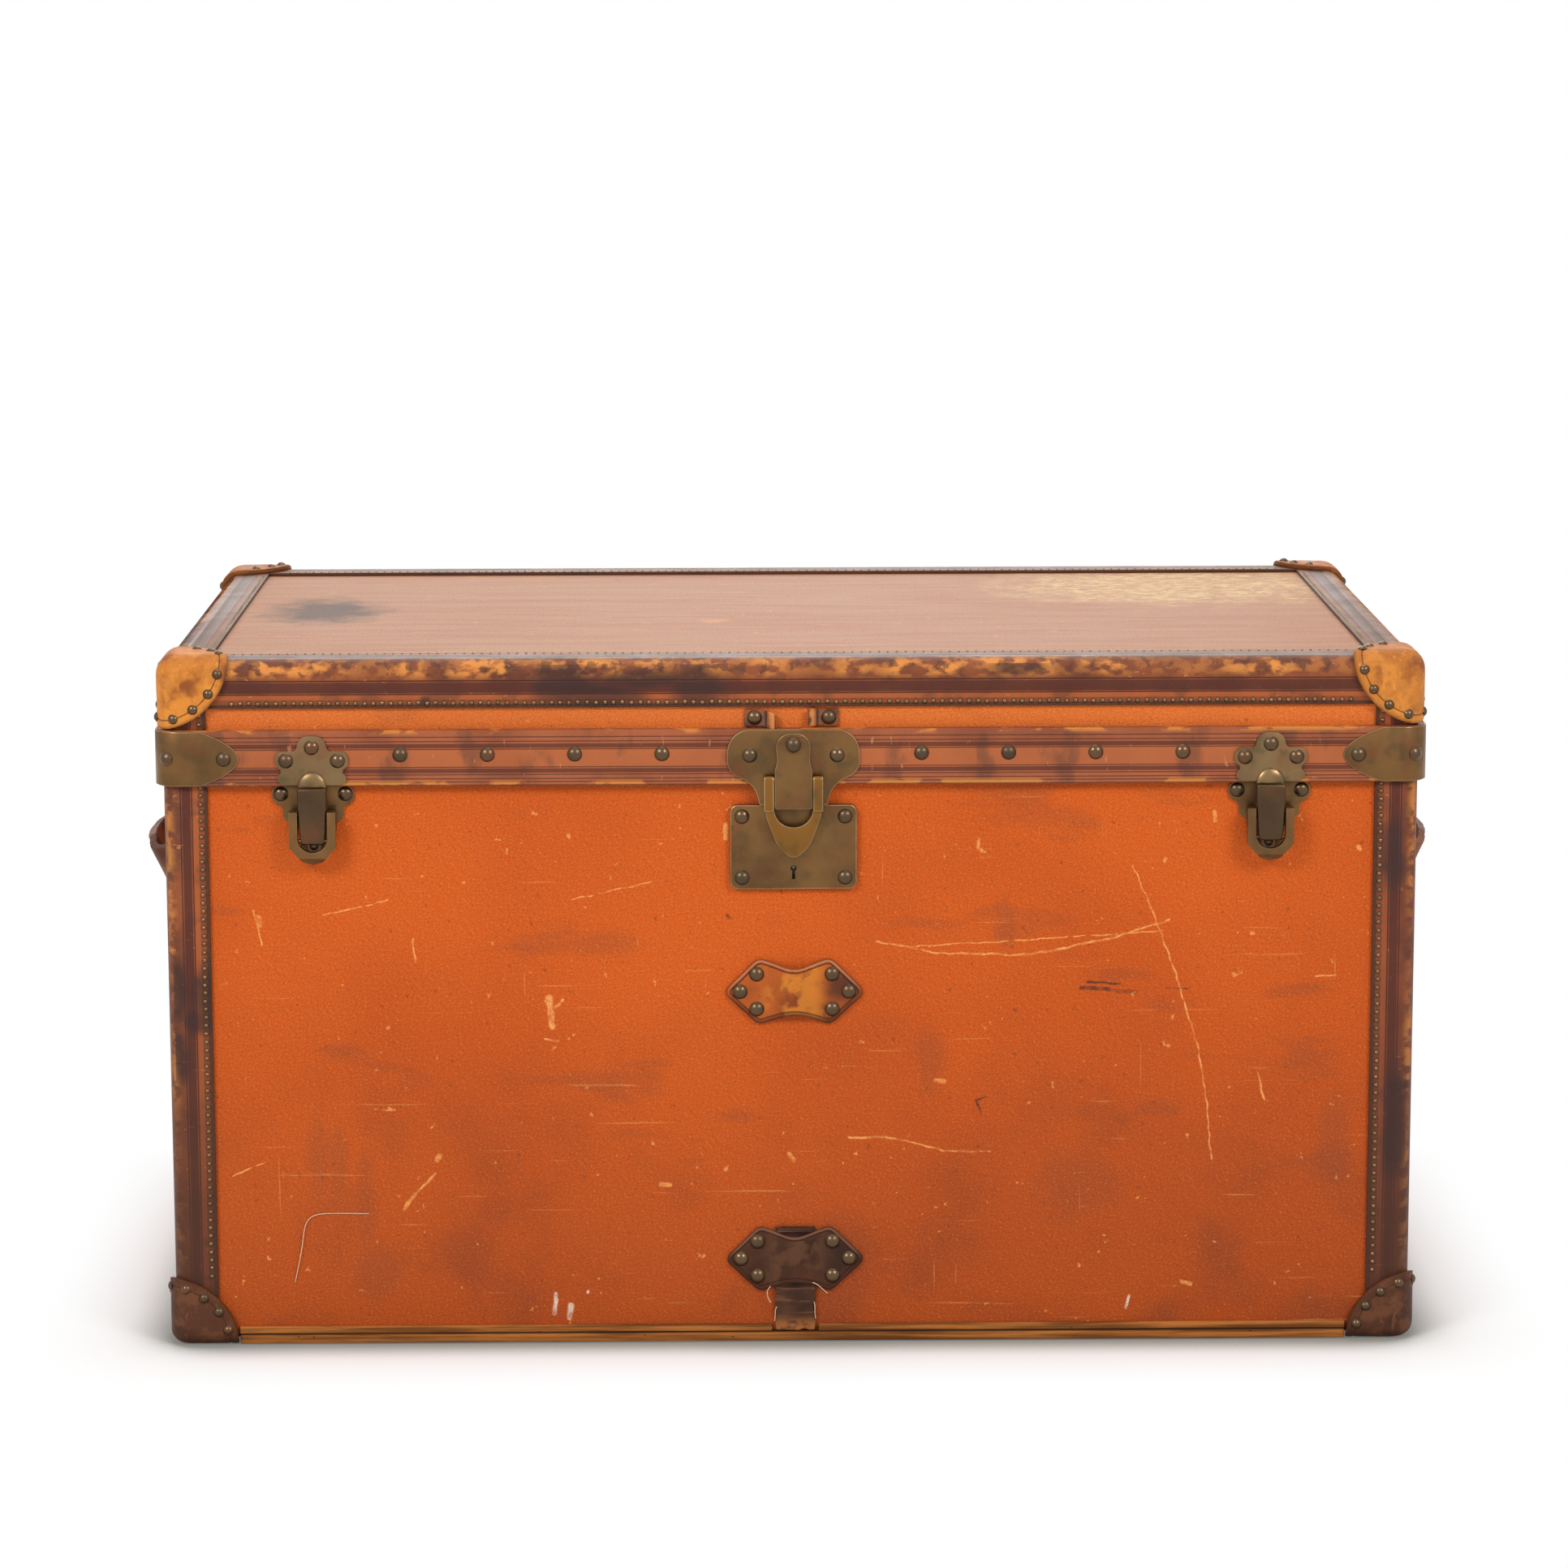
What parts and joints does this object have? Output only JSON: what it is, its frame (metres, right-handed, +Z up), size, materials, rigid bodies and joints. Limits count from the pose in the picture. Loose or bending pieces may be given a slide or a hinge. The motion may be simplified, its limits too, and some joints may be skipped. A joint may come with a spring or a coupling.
{
  "type": "travel trunk",
  "caption": "Box-shaped travel trunk in painted canvas with riveted leather edging, a hinged lid, a central hasp and lock, side clasps and drop handles on both ends.",
  "frame": {"origin": "middle of the footprint, on the plane that the trunk stands on", "axes": "+Z up, +X to the right along the trunk's length, the front with lock and clasps faces -Y"},
  "size_m": [1.0904, 0.6105, 0.5668],
  "materials": {
    "canvas": "painted woven canvas, matt",
    "leather": "waxed vegetable-tanned leather, worn",
    "cap_leather": "pale worn leather",
    "dark_leather": "darkened leather",
    "wood": "bare poplar",
    "lining": "plain cotton lining",
    "brass": "aged brass, brown patina",
    "bright_brass": "brass polished by handling",
    "steel": "dull steel",
    "tape": "woven cotton tape"
  },
  "bodies": {
    "case": {"back_panel": "wood", "base_corner_caps": "dark_leather", "base_trims": "leather", "bottom_board": "wood", "case_canvas": "canvas", "case_cap_rivets": "brass", "case_lining": "lining", "case_rivets": "brass", "clasp_bases": "brass", "clasp_pivot_pins": "steel", "corner_trims": "leather", "front_panel": "wood", "front_strip_high": "wood", "front_strip_low": "wood", "handle_chapes": "brass", "handle_pins": "steel", "hinge_case_leaves": "brass", "hinge_pins": "steel", "left_panel": "wood", "lid_stay_left": "tape", "lid_stay_right": "tape", "lock_case": "steel", "lock_plate": "brass", "patch_lower": "dark_leather", "patch_upper": "leather", "right_panel": "wood", "stay_case_plates": "brass", "strap_remnant": "dark_leather"},
    "lid": {"lid_board": "wood", "lid_rails": "wood", "lid_canvas": "canvas", "lid_lining": "lining", "lid_corner_trims": "leather", "lid_edge_trims": "leather", "top_corner_caps": "cap_leather", "lid_cap_rivets": "brass", "closing_band": "leather", "band_corner_plates": "brass", "hasp_plate": "brass", "hasp_cover_strap": "brass", "hasp_pin": "steel", "clasp_catches": "brass", "torn_tabs": "leather", "hinge_lid_leaves": "brass", "stay_lid_plates": "brass", "lid_rivets": "brass"},
    "hasp": {"hasp": "bright_brass"},
    "lock_bolt": {"lock_bolt": "steel"},
    "clasp_lever_left": {"clasp_lever_left": "brass", "clasp_finger_pin_left": "steel"},
    "clasp_finger_left": {"clasp_finger_left": "brass"},
    "handle_left": {"handle_left": "leather"},
    "clasp_lever_right": {"clasp_lever_right": "brass", "clasp_finger_pin_right": "steel"},
    "clasp_finger_right": {"clasp_finger_right": "brass"},
    "handle_right": {"handle_right": "leather"}
  },
  "joints": [
    {"name": "lid_hinge", "type": "hinge", "parent": "case", "child": "lid", "pos_m": [0, 0.2998, 0.46], "axis": [-1, 0, 0], "range_deg": [0, 100], "deforming": ["lid_stay_left", "lid_stay_right"]},
    {"name": "hasp_swing", "type": "hinge", "parent": "lid", "child": "hasp", "pos_m": [0.0013, -0.3003, 0.4646], "axis": [-1, 0, 0], "range_deg": [0, 150]},
    {"name": "lock_bolt_slide", "type": "slide", "parent": "case", "child": "lock_bolt", "axis": [1, 0, 0], "range_m": [0, 0.008]},
    {"name": "clasp_lever_left_swing", "type": "hinge", "parent": "case", "child": "clasp_lever_left", "pos_m": [-0.3805, -0.2954, 0.4364], "axis": [-1, 0, 0], "range_deg": [0, 100]},
    {"name": "clasp_finger_left_swing", "type": "hinge", "parent": "clasp_lever_left", "child": "clasp_finger_left", "pos_m": [-0.3805, -0.301, 0.417], "axis": [-1, 0, 0], "range_deg": [-100, 0]},
    {"name": "handle_left_swing", "type": "hinge", "parent": "case", "child": "handle_left", "pos_m": [-0.51, 0, 0.366], "axis": [0, 1, 0], "range_deg": [0, 80]},
    {"name": "clasp_lever_right_swing", "type": "hinge", "parent": "case", "child": "clasp_lever_right", "pos_m": [0.3805, -0.2954, 0.4364], "axis": [-1, 0, 0], "range_deg": [0, 100]},
    {"name": "clasp_finger_right_swing", "type": "hinge", "parent": "clasp_lever_right", "child": "clasp_finger_right", "pos_m": [0.3805, -0.301, 0.417], "axis": [-1, 0, 0], "range_deg": [-100, 0]},
    {"name": "handle_right_swing", "type": "hinge", "parent": "case", "child": "handle_right", "pos_m": [0.51, 0, 0.366], "axis": [0, -1, 0], "range_deg": [0, 80]}
  ],
  "couplings": [
    {"joint": "clasp_finger_left_swing", "follows": "clasp_lever_left_swing", "ratio": -1},
    {"joint": "clasp_finger_right_swing", "follows": "clasp_lever_right_swing", "ratio": -1}
  ]
}
